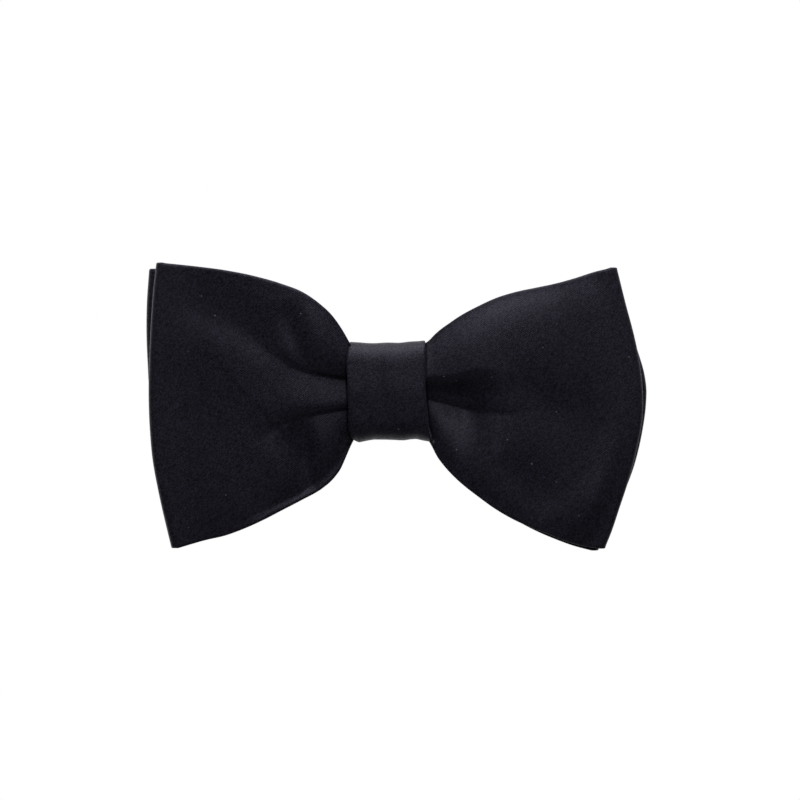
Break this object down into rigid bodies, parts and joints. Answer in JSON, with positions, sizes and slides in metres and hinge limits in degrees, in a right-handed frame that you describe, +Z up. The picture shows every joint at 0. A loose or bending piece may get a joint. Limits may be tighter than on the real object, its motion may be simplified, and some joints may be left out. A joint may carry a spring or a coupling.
{
  "type": "clip-on bow tie",
  "caption": "Ready-tied butterfly bow tie: stacked interlined satin loops gathered by a knot band, with a sprung lever clip behind that grips a collar.",
  "frame": {"origin": "in the plane where the collar is gripped, which is the back face of the clip plate, straight behind the middle of the knot", "axes": "+X across the bow to the right as seen from the front, -Y out of the front, +Y towards the collar, +Z up as worn"},
  "size_m": [0.1194, 0.0234, 0.0693],
  "materials": {
    "satin": "matt twilled satin",
    "interlining": "brushed felt",
    "thread": "twisted thread",
    "nickel_plate": "nickel plated stamped steel",
    "spring_steel": "drawn wire"
  },
  "bodies": {
    "bow": {"front_bow_satin": "satin", "front_bow_interlining": "interlining", "back_bow_satin": "satin", "back_bow_interlining": "interlining", "knot_band_satin": "satin", "knot_band_interlining": "interlining", "waist_binding_thread": "thread", "knot_band_closing_stitches": "thread", "clip_plate": "nickel_plate", "right_pivot_pin": "nickel_plate", "right_spring": "spring_steel", "right_tack_stitch": "thread", "left_pivot_pin": "nickel_plate", "left_spring": "spring_steel", "left_tack_stitch": "thread"},
    "right_jaw": {"right_lever": "nickel_plate"},
    "left_jaw": {"left_lever": "nickel_plate"}
  },
  "joints": [
    {"name": "right_lever_hinge", "type": "hinge", "parent": "bow", "child": "right_jaw", "pos_m": [0.0176, 0.0027, 0], "axis": [0, 0, 1], "range_deg": [0, 20], "stiffness_Nm_per_rad": 0.035, "springref_deg": -14.32, "deforming": ["right_spring"]},
    {"name": "left_lever_hinge", "type": "hinge", "parent": "bow", "child": "left_jaw", "pos_m": [-0.0176, 0.0027, 0], "axis": [0, 0, -1], "range_deg": [0, 20], "stiffness_Nm_per_rad": 0.035, "springref_deg": -14.32, "deforming": ["left_spring"]}
  ]
}
